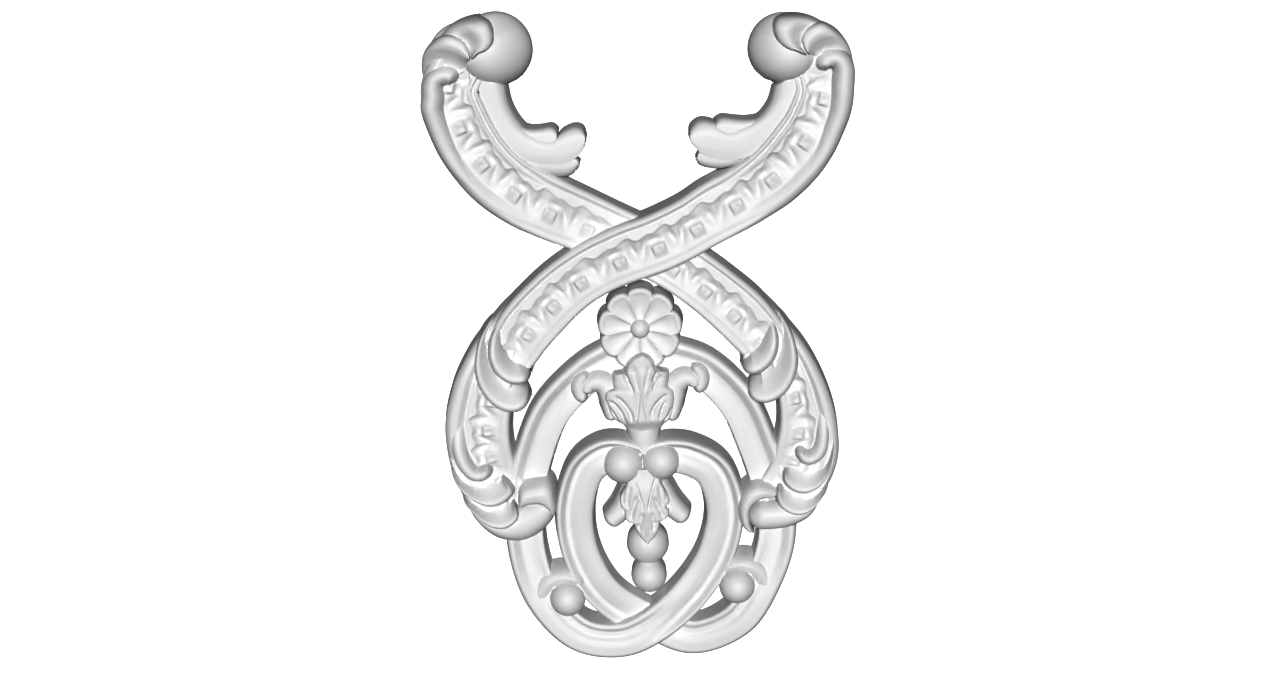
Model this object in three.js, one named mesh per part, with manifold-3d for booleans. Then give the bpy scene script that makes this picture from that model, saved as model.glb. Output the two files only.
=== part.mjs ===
// Openwork wall ornament of interlaced bands, scrolls and a pendant, cast in one piece.
// The flat back lies on the plane y = 0 and the relief rises towards -Y, with +Z up.
// The origin is on the back, behind the centre of the rosette.

import * as THREE from "three";
import { mergeVertices } from "three/addons/utils/BufferGeometryUtils.js";
import Module from "manifold-3d";

const wasm = await Module();
wasm.setup();

// Driving dimensions, in millimetres
const ORNAMENT_HEIGHT = 400;
const BAND_WIDTH = 35;
const SCROLL_WIDTH = 38;
const RING_WIDTH = 23;
const BAND_RISE = 21;
const SCROLL_RISE = 19;
const RING_RISE = 17;
const WALL_DRAFT = 1.2;
const SCALLOP_PITCH = 26;
const SCALLOP_DEPTH = 1.6;
const HEAD_BALL_RADIUS = 20;
const HEAD_BALL_RISE = 28;
const HEART_BALL_RADIUS = 11;
const HEART_BALL_RISE = 24;
const VOLUTE_BALL_RADIUS = 10.5;
const VOLUTE_BALL_RISE = 22;
const CURL_RADIUS = 13;
const CURL_RISE = 24;
const DROP_BALL_RADIUS = 13;
const END_BALL_RADIUS = 11;
const DROP_RISE = 20;
const ROSETTE_RADIUS = 25;
const ROSETTE_RISE = 18;
const ROSETTE_PETALS = 9;
const ROSETTE_NOTCH = 0.14;
const BOSS_RADIUS = 5.8;
const BOSS_RISE = 22;
const HEAD_LOBE_RISE = 25;
const HEAD_FAN_RISE = 21;
const CRESCENT_RISE = 22;
const END_RISE = 24;
const LEAF_RISE = 16;
const ROLL_RISE = 18.5;
const PALMETTE_RISE = 20;
const HORN_RISE = 18;
const NECK_WIDTH = 22;
const NECK_RISE = 17;
const PENDANT_RISE = 22;
const BELL_WIDTH = 46;
const BELL_RISE = 18;
const BELL_PETAL_RISE = 20;
const HEAD_FAN_RADIUS = 24;
const STEP_LENGTH = 14;
const BACK_MARGIN = 2;

// The layout is drawn for an ornament 400 high and keeps its proportions at any height.
const DRAWN_HEIGHT = 400;
const layout = ORNAMENT_HEIGHT / DRAWN_HEIGHT;

// Shares: how far a round end narrows and sinks and how far the steps crowd towards it, and where
// across a band the ruffle stands and how far it reaches
const END_TAPER = 0.45;
const END_SINK = 0.7;
const END_CROWDING = 0.07;
const RUFFLE_PLACE = 0.05;
const RUFFLE_REACH = 0.3;
const STEPS_PER_SCALLOP = 2;
const LEFT_HEAD_SCALE = 1.05;

// Sections as [place across, rise]: -1 and 1 are the two edges, and a rise of 1 is the full height.
const BAND_SECTION = [
  [-0.98, 0.6], [-0.84, 0.92], [-0.62, 1], [-0.38, 0.8], [-0.08, 0.86], [0.18, 0.88], [0.36, 0.76],
  [0.78, 0.94], [0.98, 0.6],
];
const SCROLL_SECTION = [
  [-0.98, 0.5], [-0.82, 0.92], [-0.6, 1], [-0.38, 0.78], [-0.05, 0.86], [0.3, 0.74], [0.7, 0.76], [0.96, 0.58],
];
const COVE_SECTION = [[-0.97, 0.6], [-0.8, 0.95], [-0.52, 0.97], [0.1, 0.74], [0.8, 0.76], [0.97, 0.6]];
const LOBE_SECTION = [[-0.95, 0.55], [-0.62, 0.93], [-0.15, 1], [0.45, 0.84], [0.95, 0.5]];
const LEAF_SECTION = [[-0.95, 0.6], [-0.5, 0.96], [0, 0.88], [0.5, 0.96], [0.95, 0.6]];

// Helpers that turn sections and paths into closed bodies

function along(values, share) {
  const place = share * (values.length - 1);
  const before = Math.min(Math.floor(place), values.length - 2);
  return THREE.MathUtils.lerp(values[before], values[before + 1], place - before);
}

function solidFrom(geometry) {
  geometry.deleteAttribute("normal");
  geometry.deleteAttribute("uv");
  const merged = mergeVertices(geometry, 1e-4);
  const vertProperties = merged.attributes.position.array;
  const corner = (index) => new THREE.Vector3().fromArray(vertProperties, 3 * index);
  const faces = [];
  let volume = 0;
  for (let i = 0; i < merged.index.count; i += 3) {
    const [a, b, c] = merged.index.array.slice(i, i + 3);
    if (a === b || b === c || c === a) continue;
    volume += corner(a).dot(corner(b).cross(corner(c)));
    faces.push([a, b, c]);
  }
  const triVerts = faces.flatMap(([a, b, c]) => (volume > 0 ? [a, b, c] : [a, c, b]));
  return new wasm.Manifold(new wasm.Mesh({ numProp: 3, vertProperties, triVerts: new Uint32Array(triVerts) }));
}

function bodyThrough(rows) {
  const count = rows[0].length;
  const positions = rows.flat(2);
  const indices = [];
  for (let row = 0; row + 1 < rows.length; row += 1) {
    for (let i = 0; i < count; i += 1) {
      const a = row * count + i;
      const b = row * count + ((i + 1) % count);
      indices.push(a, b, b + count, a, b + count, a + count);
    }
  }
  for (const row of [0, rows.length - 1]) {
    const middle = positions.length / 3;
    positions.push(...[0, 1, 2].map((k) => rows[row].reduce((sum, point) => sum + point[k], 0) / count));
    for (let i = 0; i < count; i += 1) {
      const a = row * count + i;
      const b = row * count + ((i + 1) % count);
      indices.push(...(row === 0 ? [middle, b, a] : [middle, a, b]));
    }
  }
  const geometry = new THREE.BufferGeometry();
  geometry.setAttribute("position", new THREE.Float32BufferAttribute(positions, 3));
  geometry.setIndex(indices);
  return solidFrom(geometry);
}

// A strand follows a path in the plane of the wall. Its section goes from the edge on the right
// of the direction of travel, at -1, to the edge on the left, at 1.
function strand({
  path, width, widths = [1, 1], rise, rises = [1, 1], section, ripple = 0, stepLength = STEP_LENGTH * layout,
  steps, round = false,
}) {
  const centre = new THREE.SplineCurve(path.map(([x, z]) => new THREE.Vector2(x, z).multiplyScalar(layout)));
  const length = centre.getLength();
  const last = steps ?? Math.round(length / stepLength);
  const rows = [];
  for (let i = 0; i <= last; i += 1) {
    const share = i / last - (round ? END_CROWDING * Math.sin((2 * Math.PI * i) / last) : 0);
    const taper = round ? Math.max(END_TAPER, (1 - Math.abs(2 * share - 1) ** 3) ** 0.5) : 1;
    const point = centre.getPointAt(share);
    const travel = centre.getTangentAt(share);
    const half = (width * along(widths, share) * taper) / 2;
    const height = rise * along(rises, share) * THREE.MathUtils.lerp(END_SINK, 1, taper);
    const wave = ripple * Math.cos((2 * Math.PI * i) / STEPS_PER_SCALLOP);
    const row = section.map(([across, lift]) => {
      const inRuffle = Math.max(0, 1 - Math.abs(across - RUFFLE_PLACE) / RUFFLE_REACH);
      return [across * half, lift * height + wave * inRuffle];
    });
    row.unshift([-half - WALL_DRAFT, -BACK_MARGIN]);
    row.push([half + WALL_DRAFT, -BACK_MARGIN]);
    rows.push(row.map(([across, lift]) => [point.x - travel.y * across, -lift, point.y + travel.x * across]));
  }
  return bodyThrough(rows);
}

function ball([x, z], radius, rise, sides = 12, roundness = 1) {
  const profile = [new THREE.Vector2(0, BACK_MARGIN), new THREE.Vector2(radius * 0.97, BACK_MARGIN)];
  const bulge = Math.min(radius * roundness, rise);
  const arcs = sides / 4;
  for (let i = 0; i <= arcs; i += 1) {
    const angle = (i / arcs) * (Math.PI / 2);
    profile.push(new THREE.Vector2(radius * Math.cos(angle), -(rise - bulge) - bulge * Math.sin(angle)));
  }
  const geometry = new THREE.LatheGeometry(profile, sides);
  geometry.translate(x * layout, 0, z * layout);
  return solidFrom(geometry);
}

const mirror = (section) => section.map(([across, lift]) => [-across, lift]).reverse();

// The two interlaced bands, from the heads down to the crescents beside the ring

function bands() {
  const front = {
    path: [
      [99, 156], [104, 139.6], [99, 121], [89.5, 104.4], [76.5, 90.3], [60.7, 79.3], [43.8, 70.3], [27.2, 60.4],
      [10, 52], [-8, 45.3], [-25.5, 37], [-41.5, 26.4], [-55.6, 13.3], [-68.2, -1.2], [-78, -17.7], [-79, -28],
    ],
    widths: [0.95, 1, 1, 1.08, 1.06, 1.02, 1.02, 0.97, 0.98, 0.98, 0.95, 0.94, 0.96, 0.98, 0.9, 0.6],
    rises: [0.9, 1, 1, 0.98, 1, 1.05, 1.08, 1, 0.95, 0.95, 0.8],
  };
  const back = {
    path: [
      [-101, 154], [-107.8, 138.9], [-102.9, 120.8], [-94.6, 104.1], [-82.7, 89.7], [-67.6, 78.9], [-50.8, 70.7],
      [-33.6, 63.2], [-16.4, 55.8], [0.7, 48.3], [17.5, 40.1], [33.3, 30.1], [48.1, 18.6], [61.8, 5.9],
      [73.4, -8.8], [75, -20],
    ],
    widths: [0.98, 1.02, 1.05, 1.07, 1.07, 1.07, 1.05, 1.01, 0.96, 0.93, 0.9, 0.9, 0.91, 0.94, 0.86, 0.6],
    rises: [0.9, 1, 0.98, 0.94, 0.85, 0.72, 0.72, 0.86, 0.95, 0.95, 0.8],
  };
  const stepLength = SCALLOP_PITCH / STEPS_PER_SCALLOP;
  const shared = { width: BAND_WIDTH, rise: BAND_RISE, ripple: SCALLOP_DEPTH, stepLength };
  return [
    strand({ ...front, ...shared, section: mirror(BAND_SECTION) }),
    strand({ ...back, ...shared, section: BAND_SECTION }),
  ];
}

// A lobe is a short strand that swells and tapers, used for crescents, petals and leaves. Its width
// belongs to the layout.

function lobe(path, width, rise, widths = [1, 1], section = LOBE_SECTION) {
  return strand({ path, width: width * layout, widths, rise, section, steps: path.length + 1, round: true });
}

function heads() {
  const crescent = (path, width, widths, section) => lobe(path, width, HEAD_LOBE_RISE, widths, section);
  const flipped = mirror(LOBE_SECTION);
  return [
    ball([80, 162.5], HEAD_BALL_RADIUS, HEAD_BALL_RISE, 16),
    ball([-81.5, 162.5], HEAD_BALL_RADIUS * LEFT_HEAD_SCALE, HEAD_BALL_RISE, 16),
    ball([96, 158], HEAD_FAN_RADIUS, HEAD_FAN_RISE, 12, 0.5),
    ball([-97.5, 156.5], HEAD_FAN_RADIUS, HEAD_FAN_RISE, 12, 0.5),
    crescent([[95, 155], [87, 161], [84, 169], [91, 177]], 16, [0.5, 0.8, 1, 1.2], flipped),
    crescent([[96, 155], [97, 165], [103, 172], [110, 171]], 15, [0.5, 0.8, 1, 1.1], flipped),
    crescent([[98, 154], [103, 163], [110, 165], [117, 160]], 12, [0.6, 1, 1.1, 1], flipped),
    crescent([[117, 138], [116.5, 153], [110, 157.5], [103, 152]], 11, [1, 1, 1.1, 1], LOBE_SECTION),
    crescent([[-95, 153], [-89, 162], [-92, 172], [-106, 172]], 16, [0.6, 0.9, 1.1, 1.1]),
    crescent([[-97, 153], [-100, 162], [-109, 166], [-117, 159]], 15, [0.5, 0.9, 1, 1]),
    crescent([[-120, 136], [-118, 148], [-110, 151.5], [-102, 146]], 11, [1, 1, 1.1, 1], flipped),
  ];
}

// Leaves that spring from the inner edges of the arms

function armLeaves() {
  const leaf = (path, width, widths) => lobe(path, width, LEAF_RISE, widths, LEAF_SECTION);
  return [
    leaf([[86, 146], [82, 131], [72, 118], [46, 116]], 13, [1, 1, 1.3, 0.9]),
    leaf([[72, 118], [56, 110], [42, 111.5], [28, 113.5]], 21, [0.8, 1.1, 0.9, 0.95]),
    leaf([[64, 105], [54, 101], [44, 98.5], [33, 98.5]], 12, [0.8, 1, 1, 0.8]),
    leaf([[-86, 145], [-81, 130], [-71, 115], [-49, 112.5]], 13, [1, 1, 1.3, 1.1]),
    leaf([[-74, 113], [-58, 104], [-46, 105], [-32, 111]], 19, [0.8, 1, 0.95, 1.15]),
    leaf([[-58, 98], [-50, 95], [-44, 94.5], [-36, 95]], 11, [0.8, 1, 1, 0.9]),
  ];
}

// The scrolls outside the ring, with three crescents and a curled ball at their lower ends

function scrolls() {
  const left = {
    path: [
      [-62, 17], [-75, 4], [-87.8, -18.3], [-94.6, -43.2], [-97.5, -66], [-93, -92], [-81.5, -110], [-68, -118],
    ],
    widths: [0.45, 0.53, 0.73, 0.95, 1.02, 1.02, 1, 0.8],
    section: SCROLL_SECTION,
  };
  const right = {
    path: [
      [62, 17], [74.4, 4.1], [87.8, -16.3], [96.8, -39], [101, -63], [98.4, -87], [87, -106], [76, -114],
    ],
    widths: [0.42, 0.48, 0.62, 0.76, 0.9, 1.02, 1, 0.8],
    section: mirror(SCROLL_SECTION),
  };
  const shared = { width: SCROLL_WIDTH, rise: SCROLL_RISE, rises: [0.6, 0.85, 1, 1, 0.75, 0.6] };
  const flipped = mirror(LOBE_SECTION);
  const crescent = (path, width, section) => lobe(path, width, CRESCENT_RISE, [0.8, 1, 1, 1], section);
  return [
    strand({ ...left, ...shared }),
    strand({ ...right, ...shared }),
    crescent([[-112, -62], [-111, -76], [-105, -88], [-97, -92], [-91, -82]], 15),
    crescent([[-112, -84], [-106, -98], [-97, -107], [-87, -107], [-79, -97]], 18),
    crescent([[-106, -101], [-98, -114], [-87, -121], [-78, -119], [-73, -110]], 18),
    crescent([[-93, -118], [-80, -128], [-66, -130.5], [-55, -124], [-52, -110]], 17),
    crescent([[113, -58], [112, -71], [107, -80], [100, -81], [96, -73]], 15, flipped),
    crescent([[115, -78], [110, -91], [102, -99], [93, -99], [87, -91]], 17, flipped),
    crescent([[112, -96], [105, -108], [96, -114], [88, -111], [84, -102]], 17, flipped),
    crescent([[108, -110], [96, -121], [82, -127], [69, -124], [63, -110]], 17, flipped),
    ball([-63, -107], CURL_RADIUS, CURL_RISE, 12),
    ball([72, -109], CURL_RADIUS, CURL_RISE, 12),
  ];
}

// Nested crescents at the lower ends of the bands

function bandEnds() {
  const crescent = (path, width, widths, section) => lobe(path, width, END_RISE, widths, section);
  const flipped = mirror(LOBE_SECTION);
  return [
    crescent([[-81, 9], [-87, -6], [-86, -20], [-78, -29.5], [-64, -27]], 14, [0.7, 0.9, 1, 1, 1]),
    crescent([[-84, 7], [-92, -14], [-91, -32], [-80, -45], [-61, -38]], 19, [0.5, 0.8, 1, 1, 1]),
    crescent([[72, 14], [78, 0], [77, -14], [70, -23.5], [58, -19]], 13, [0.7, 0.9, 1, 1, 1], flipped),
    crescent([[78, 10], [86, -8], [85, -27], [76, -40], [62, -34]], 18, [0.5, 0.8, 1, 1, 1], flipped),
  ];
}

// The ring. Each strand starts under the rosette, runs around the outside, crosses the other at the
// bottom and climbs one side of the heart into a ball.

function ring() {
  const left = {
    path: [
      [-12, -18], [-30.8, -29], [-52.6, -51.6], [-64.4, -80.4], [-70, -110], [-69.5, -142], [-59.5, -172.5],
      [-39, -195.5], [-14, -200.5], [7, -192], [30, -171], [46.4, -144.5], [52, -116], [45, -91],
      [29, -80.5], [13, -79.5],
    ],
    rises: [0.7, 0.8, 0.85, 0.85, 0.8, 0.85, 0.95, 1, 1.05, 1.05, 1, 0.9, 0.9, 1, 1.05, 1],
    section: COVE_SECTION,
  };
  const right = {
    path: [
      [12, -18], [37, -26], [58.5, -46.9], [71, -74], [80.4, -103], [84, -132], [76, -161], [60.5, -187],
      [33, -200], [7, -190.5], [-20, -172.5], [-35.6, -146], [-40, -117], [-34, -91], [-22, -80], [-9, -79.5],
    ],
    rises: [0.7, 0.8, 0.85, 0.85, 0.8, 0.85, 0.95, 1, 0.85, 0.65, 0.75, 0.9, 0.9, 1, 1.05, 1],
    section: mirror(COVE_SECTION),
  };
  const shared = { width: RING_WIDTH, rise: RING_RISE };
  return [
    strand({ ...left, ...shared }),
    strand({ ...right, ...shared }),
    ball([-10.2, -84.4], HEART_BALL_RADIUS, HEART_BALL_RISE),
    ball([12.6, -82.5], HEART_BALL_RADIUS, HEART_BALL_RISE),
    ball([-45, -171.7], VOLUTE_BALL_RADIUS, VOLUTE_BALL_RISE),
    ball([59.6, -162.4], VOLUTE_BALL_RADIUS, VOLUTE_BALL_RISE),
    lobe([[-44, -154], [-56, -160], [-61, -172], [-56, -184]], 10, ROLL_RISE),
    lobe([[60, -147], [72, -153], [76, -163], [71, -174]], 10, ROLL_RISE, [1, 1], mirror(LOBE_SECTION)),
  ];
}

// The rosette: round-ended petals about a boss, as rings of points that follow the scalloped edge

function rosette() {
  const points = ROSETTE_PETALS * 4;
  const ring = (share, valley, crest) =>
    Array.from({ length: points }, (_, i) => {
      const angle = (i / points) * 2 * Math.PI + Math.PI / 2;
      const petal = Math.abs(Math.cos((ROSETTE_PETALS * (angle - Math.PI / 2)) / 2)) ** 0.6;
      const reach = ROSETTE_RADIUS * share * (1 - ROSETTE_NOTCH * (1 - petal));
      return [reach * Math.cos(angle), -THREE.MathUtils.lerp(valley, crest, petal), reach * Math.sin(angle)];
    });
  const rim = ROSETTE_RISE * 0.7;
  return [
    bodyThrough([
      ring(1.04, -BACK_MARGIN, -BACK_MARGIN),
      ring(1, rim, rim),
      ring(0.84, rim * 1.05, ROSETTE_RISE),
      ring(0.5, rim * 0.95, ROSETTE_RISE * 0.9),
    ]),
    ball([0, 0], BOSS_RADIUS, BOSS_RISE),
  ];
}

// The palmette under the rosette, its two horns and the neck below

function palmette() {
  const leaf = (path, width, widths) => lobe(path, width, PALMETTE_RISE, widths, LEAF_SECTION);
  const horn = (path, section) => lobe(path, 12, HORN_RISE, [1, 1, 1, 1.1], section);
  return [
    leaf([[0.6, -66], [0.6, -48], [0.6, -32], [0.6, -16]], 18, [0.8, 0.9, 1, 0.7]),
    leaf([[-4, -62], [-11, -46], [-14, -36], [-15, -22]], 13, [0.8, 1, 1, 0.6]),
    leaf([[5, -62], [12, -46], [14.5, -36], [14.5, -22]], 13, [0.8, 1, 1, 0.6]),
    leaf([[-5, -62], [-12, -56], [-16, -48], [-18, -37]], 13, [0.9, 1, 0.9, 0.6]),
    leaf([[7, -62], [15, -55], [18, -48], [19.5, -36]], 13, [0.9, 1, 0.9, 0.6]),
    horn([[-12, -38], [-21, -32], [-33, -34], [-35, -45]], LOBE_SECTION),
    horn([[13, -37], [22, -29], [34, -28], [37, -39]], mirror(LOBE_SECTION)),
    strand({ path: [[2, -56], [2, -82]], width: NECK_WIDTH, rise: NECK_RISE, section: LEAF_SECTION, steps: 3 }),
  ];
}

// The pendant: a bell flower with a leaf over it and two balls below

function pendant() {
  return [
    strand({
      path: [[2, -84], [2.5, -100], [3.5, -115], [4.5, -129]],
      width: BELL_WIDTH,
      widths: [0.5, 0.58, 0.66, 0.88, 0.8],
      rise: BELL_RISE,
      section: LEAF_SECTION,
      steps: 6,
    }),
    lobe([[-5, -94], [-7, -108], [-13, -117], [-23, -125]], 11, BELL_PETAL_RISE, [0.8, 1, 1, 1], LEAF_SECTION),
    lobe([[11, -93], [13, -107], [20, -116], [31, -124]], 11, BELL_PETAL_RISE, [0.8, 1, 1, 1], LEAF_SECTION),
    lobe([[2, -92], [3, -108], [4, -122], [5, -137]], 26, PENDANT_RISE, [0.9, 1, 1, 0.7], LEAF_SECTION),
    ball([4.9, -137], DROP_BALL_RADIUS, DROP_RISE),
    ball([6.1, -155], END_BALL_RADIUS, DROP_RISE),
  ];
}

// All the forms are cast together, and the back is cut flat at y = 0.

function casting() {
  const forms = [
    bands(), heads(), armLeaves(), scrolls(), bandEnds(), ring(), rosette(), palmette(), pendant(),
  ].flat();
  const joined = forms.reduce((whole, form) => whole.add(form));
  const slab = new THREE.BoxGeometry(2 * ORNAMENT_HEIGHT, 4 * BACK_MARGIN, 2 * ORNAMENT_HEIGHT);
  slab.translate(0, 2 * BACK_MARGIN, 0);
  return joined.subtract(solidFrom(slab));
}

const mesh = casting().getMesh();
const geometry = new THREE.BufferGeometry();
geometry.setAttribute("position", new THREE.BufferAttribute(mesh.vertProperties, 3));
geometry.setIndex(new THREE.BufferAttribute(mesh.triVerts, 1));
geometry.computeVertexNormals();

const primer = new THREE.MeshStandardMaterial({ color: 0xd9d9d9, roughness: 0.6, metalness: 0 });
const ornament = new THREE.Mesh(geometry, primer);
ornament.name = "ornament";

const part = new THREE.Group();
part.add(ornament);

export default part;
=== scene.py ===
"""Openwork wall ornament in primed polyurethane, dressed over the frame of its one casting.

Lengths in the layout are drawn millimetres. They are turned into metres by the height of the casting in
the frame, so the ornament keeps its proportions. +Z is up, and the relief rises towards -Y from a flat back.
"""

import math

import bpy
import numpy as np
from bpy.props import FloatProperty, FloatVectorProperty, IntProperty, PointerProperty
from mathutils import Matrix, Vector


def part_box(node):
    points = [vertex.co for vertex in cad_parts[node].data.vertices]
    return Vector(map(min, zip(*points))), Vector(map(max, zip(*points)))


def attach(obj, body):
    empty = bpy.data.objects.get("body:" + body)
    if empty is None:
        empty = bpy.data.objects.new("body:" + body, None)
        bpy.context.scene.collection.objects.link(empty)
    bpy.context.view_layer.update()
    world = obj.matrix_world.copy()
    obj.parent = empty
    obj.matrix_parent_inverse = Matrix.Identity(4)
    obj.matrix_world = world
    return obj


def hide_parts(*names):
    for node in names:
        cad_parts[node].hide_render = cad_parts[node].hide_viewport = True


bl_info = {
    "name": "Openwork Wall Ornament",
    "version": (1, 0, 0),
    "blender": (4, 5, 0),
    "location": "View3D > Sidebar > Ornament",
    "description": "Interlaced bands, scrolls, a rosette and a pendant, carved in one casting",
    "category": "Add Mesh",
}

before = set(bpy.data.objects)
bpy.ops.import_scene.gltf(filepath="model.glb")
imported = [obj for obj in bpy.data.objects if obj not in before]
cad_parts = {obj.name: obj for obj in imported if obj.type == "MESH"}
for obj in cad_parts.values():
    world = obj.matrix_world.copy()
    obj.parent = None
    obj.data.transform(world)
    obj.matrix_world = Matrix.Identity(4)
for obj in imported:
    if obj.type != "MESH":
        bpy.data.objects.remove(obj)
CASTING_LOW, CASTING_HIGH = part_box("ornament")
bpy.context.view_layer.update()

# Height of the whole layout in drawn millimetres, and the length of one of them in metres
DRAWN_REACH = 396.4
METRE = (CASTING_HIGH.z - CASTING_LOW.z) / DRAWN_REACH

# Widths of the strands
BAND_WIDTH = 35
SCROLL_WIDTH = 38
RING_WIDTH = 23
BEAD_INSET = 5.8

# Distance between the rows of points along a carved and along a plain strand
FINE_STEP = 0.5
PLAIN_STEP = 0.9

# How far a side wall and an end wall lean out at the back, and how the flat backs are stepped
WALL_DRAFT = 1.2
END_DRAFT = 0.3
BACK_STEP = 0.1
SHARP_ANGLE = math.radians(58)

# A ball sinks by this share, over this distance, where another form lies on it
TUCK_SHARE = 0.26
TUCK_REACH = 13

# The camera's height over the level in degrees, its distance, and the height of the point it looks at
CAMERA_PITCH = 15
CAMERA_DISTANCE = 960
AIM_HEIGHT = -13.7

# Where the raised bosses stand along each band and scroll, from its upper end; the first and the last may
# lie past the strand, to carry the ruffle on
FRONT_BOSSES = (-4, 22, 48, 77, 101, 128, 152, 176, 203, 225, 248, 274, 300)
BACK_BOSSES = (-10, 14, 38, 62, 87, 110, 134, 161, 189, 212, 235, 259, 284)
LEFT_SCROLL_BOSSES = (-20, 2, 24, 46, 70, 90, 108, 128, 148, 170)
RIGHT_SCROLL_BOSSES = (-22, 0, 22, 44, 69, 93, 112, 130, 150, 170)

# Middle lines of the bands and their widths as shares of the band width, both from the upper end
FRONT_PATH = ((99, 156), (104, 139.6), (99, 121), (89.5, 104.4), (76.5, 90.3), (60.7, 79.3), (43.8, 70.3),
              (27.2, 60.4), (10, 52), (-8, 45.3), (-25.5, 37), (-41.5, 26.4), (-55.6, 13.3), (-68.2, -1.2),
              (-77.5, -17.7), (-78, -25))
FRONT_WIDTHS = (0.9, 0.95, 1, 1.08, 1.06, 1.02, 1.02, 0.97, 0.98, 0.98, 0.95, 0.94, 0.96, 0.98, 0.94, 0.8)
BACK_PATH = ((-101, 154), (-107.8, 138.9), (-102.9, 120.8), (-94.6, 104.1), (-82.7, 89.7), (-67.6, 78.9),
             (-50.8, 70.7), (-33.6, 63.2), (-16.4, 55.8), (0.7, 48.3), (17.5, 40.1), (33.3, 30.1),
             (48.1, 18.6), (61.8, 5.9), (73.4, -8.8), (75, -20))
BACK_WIDTHS = (0.9, 0.96, 1.03, 1.07, 1.07, 1.07, 1.05, 1.01, 0.96, 0.93, 0.9, 0.9, 0.91, 0.94, 0.9, 0.8)

# Cross-sections: place across (-1 and 1 are the edges), then lift in drawn millimetres
ARM = ((-1, -0.71, -0.52, -0.38, -0.2, 0.03, 0.56, 0.68, 0.78, 0.89, 1),
       (20.4, 21, 19.4, 17.4, 17.3, 17.5, 18.4, 19.5, 18, 19.3, 17.4))
CROSSING = ((-1, -0.86, -0.74, -0.62, -0.48, -0.08, 0.43, 0.53, 0.69, 0.83, 0.94, 1),
            (19, 19.4, 18.7, 18.9, 18.5, 18.1, 18.9, 18.8, 17.4, 18.9, 18.6, 18.2))
SCROLL = ((-1, -0.8, -0.62, -0.48, -0.4, -0.3, -0.16, 0.2, 0.5, 0.66, 0.8, 0.9, 1),
          (17.8, 18.8, 19, 17.4, 16.4, 17.1, 17.2, 16.2, 15.9, 16.2, 16.9, 16.6, 15.6))
RING = ((-1, -0.84, -0.66, -0.5, -0.2, 0.05, 0.4, 0.75, 1),
        (15.4, 17, 17.1, 15.8, 12.6, 12.2, 12.7, 13.6, 13.6))
FOOT = ((-1, -0.7, -0.35, 0, 0.3, 0.52, 0.8, 1), (15.4, 16.6, 16.6, 15.8, 13.6, 13.6, 15.6, 15.2))
HEART = ((-1, -0.88, -0.76, -0.4, -0.28, 0, 0.35, 0.75, 1),
         (15, 17, 16.9, 12.7, 12.7, 14.6, 15.7, 15, 13.4))

# Sections along a ring strand, with the share of its length where each holds
RING_STATIONS = ((0, RING), (0.33, RING), (0.45, FOOT), (0.58, FOOT), (0.68, HEART), (1, HEART))


# Curves and profiles

def smooth_path(points, share):
    """Catmull-Rom curve through the points, read at shares of its length.

    Between two points it is the cubic whose end slopes are half the way between their neighbours.
    Returns the places, the unit directions of travel and the length.
    """
    knots = np.asarray(points, float)
    knots = np.vstack([knots[:1], knots, knots[-1:]])
    last = len(points) - 2
    at = np.linspace(0, last + 1, 60 * (last + 1) + 1)
    step = np.minimum(at.astype(int), last)
    u = (at - step)[:, None]
    a, b, c, d = (knots[step + k] for k in range(4))
    out, back = (c - a) / 2, (d - b) / 2
    curve = (2 * b - 2 * c + out + back) * u**3 + (3 * c - 3 * b - 2 * out - back) * u**2 + out * u + b
    reach = np.r_[0, np.cumsum(np.hypot(*np.diff(curve, axis=0).T))]
    wanted = np.asarray(share) * reach[-1]
    nearby = reach[-1] / 400
    place, ahead, behind = (
        np.stack([np.interp(at, reach, curve[:, k]) for k in range(2)], -1)
        for at in (wanted, wanted + nearby, wanted - nearby)
    )
    travel = ahead - behind
    return place, travel / np.linalg.norm(travel, axis=1, keepdims=True), reach[-1]


def through(knots, values, at):
    """Cubic curve through the knots, whose slope at each is the harmonic mean of the slopes beside it, so
    that it never swings past a value."""
    knots, values = np.asarray(knots, float), np.asarray(values, float)
    at = np.clip(at, knots[0], knots[-1])
    step = np.diff(knots)
    rise = np.diff(values) / step
    slope = np.zeros_like(values)
    slope[0], slope[-1] = rise[0], rise[-1]
    same = rise[:-1] * rise[1:] > 0
    slope[1:-1][same] = 2 * rise[:-1][same] * rise[1:][same] / (rise[:-1] + rise[1:])[same]
    k = np.clip(np.searchsorted(knots, at, side="right") - 1, 0, len(step) - 1)
    u = (at - knots[k]) / step[k]
    start, end = values[k], values[k + 1]
    return (
        start + (end - start) * u * u * (3 - 2 * u)
        + step[k] * u * (1 - u) * (slope[k] * (1 - u) - slope[k + 1] * u)
    )


def vary(values, share):
    """Values spread evenly along a form, read at shares of its length."""
    return through(np.linspace(0, 1, len(values)), values, share)


def edge_drop(depth, radius):
    """How far a surface falls at a depth inside its edge, where the edge is a quarter circle."""
    inside = np.clip(1 - depth / radius, 0, 1)
    return radius * (1 - np.sqrt(1 - inside**2))


def round_end(distance, radius):
    """Share of the full width at a distance from the tip of a form that ends in a half circle."""
    return np.sqrt(1 - (1 - np.clip(distance / radius, 0, 1)) ** 2)


def hump(distance, width):
    """Bell of height 1, and 0.37 high at the width."""
    return np.exp(-((distance / width) ** 2))


def step_up(distance, soft):
    """0 well before the place and 1 well past it, with a soft step."""
    return 0.5 + 0.5 * np.tanh(distance / soft)


def ramp(distance, length):
    """Smooth rise from 0 to 1 over the length."""
    u = np.clip(distance / length, 0, 1)
    return u * u * (3 - 2 * u)


def teeth(turn, sharpness):
    """Smooth saw: a quick rise at each whole turn and a slow fall to the next, between about -1 and 1."""
    angle = 2 * math.pi * turn
    return np.arctan2(sharpness * np.sin(angle), 1 - sharpness * np.cos(angle)) / math.asin(sharpness)


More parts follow.
